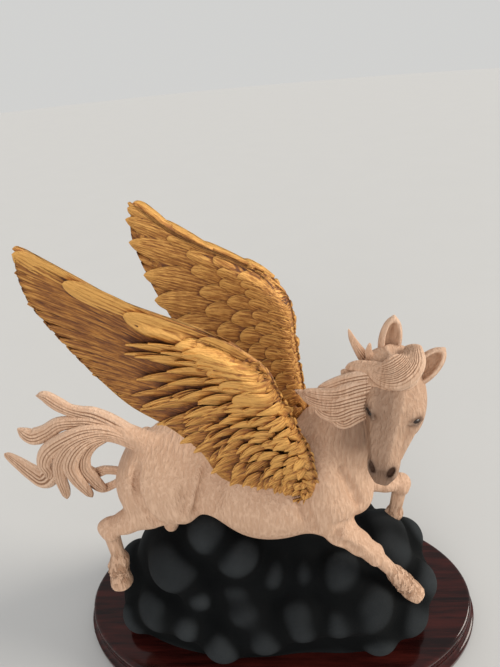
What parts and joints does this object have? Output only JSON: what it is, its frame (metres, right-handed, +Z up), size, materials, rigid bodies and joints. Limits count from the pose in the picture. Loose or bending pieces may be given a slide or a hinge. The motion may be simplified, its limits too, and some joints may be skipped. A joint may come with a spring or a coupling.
{
  "type": "pegasus figurine",
  "caption": "Leaping winged horse ornament: cream resin horse with gilt feathered wings over a black cloud on an oval lacquered wooden plinth.",
  "frame": {"origin": "middle of the face under the baize that the ornament stands on", "axes": "+X towards the front of the plinth, the way that the horse leaps, +Y to the horse's left, +Z up"},
  "size_m": [0.3277, 0.168, 0.3432],
  "materials": {
    "cream_resin": "matt cream paint on cast resin, with a brown wash in the hollows",
    "gilt_resin": "antiqued gold paint over red brown on cast resin",
    "black_cloud": "matt charcoal black paint on cast resin",
    "mahogany": "dark red mahogany under gloss lacquer",
    "baize": "green felt sheet",
    "steel": "plain steel pins and screws"
  },
  "bodies": {
    "root": {"baize": "baize", "plinth": "mahogany", "cloud_base": "black_cloud", "horse_body": "cream_resin", "tail": "cream_resin", "tail_pin": "steel", "cloud_screw_rear": "steel", "cloud_screw_middle": "steel", "cloud_screw_front": "steel", "mount_pin_rear": "steel", "mount_pin_front": "steel", "right_wing": "gilt_resin", "right_wing_pin": "steel", "left_wing": "gilt_resin", "left_wing_pin": "steel", "right_foreleg": "cream_resin", "right_foreleg_pin": "steel", "left_foreleg": "cream_resin", "left_foreleg_pin": "steel", "right_hind_leg": "cream_resin", "right_hind_leg_pin": "steel", "left_hind_leg": "cream_resin", "left_hind_leg_pin": "steel"}
  },
  "joints": []
}
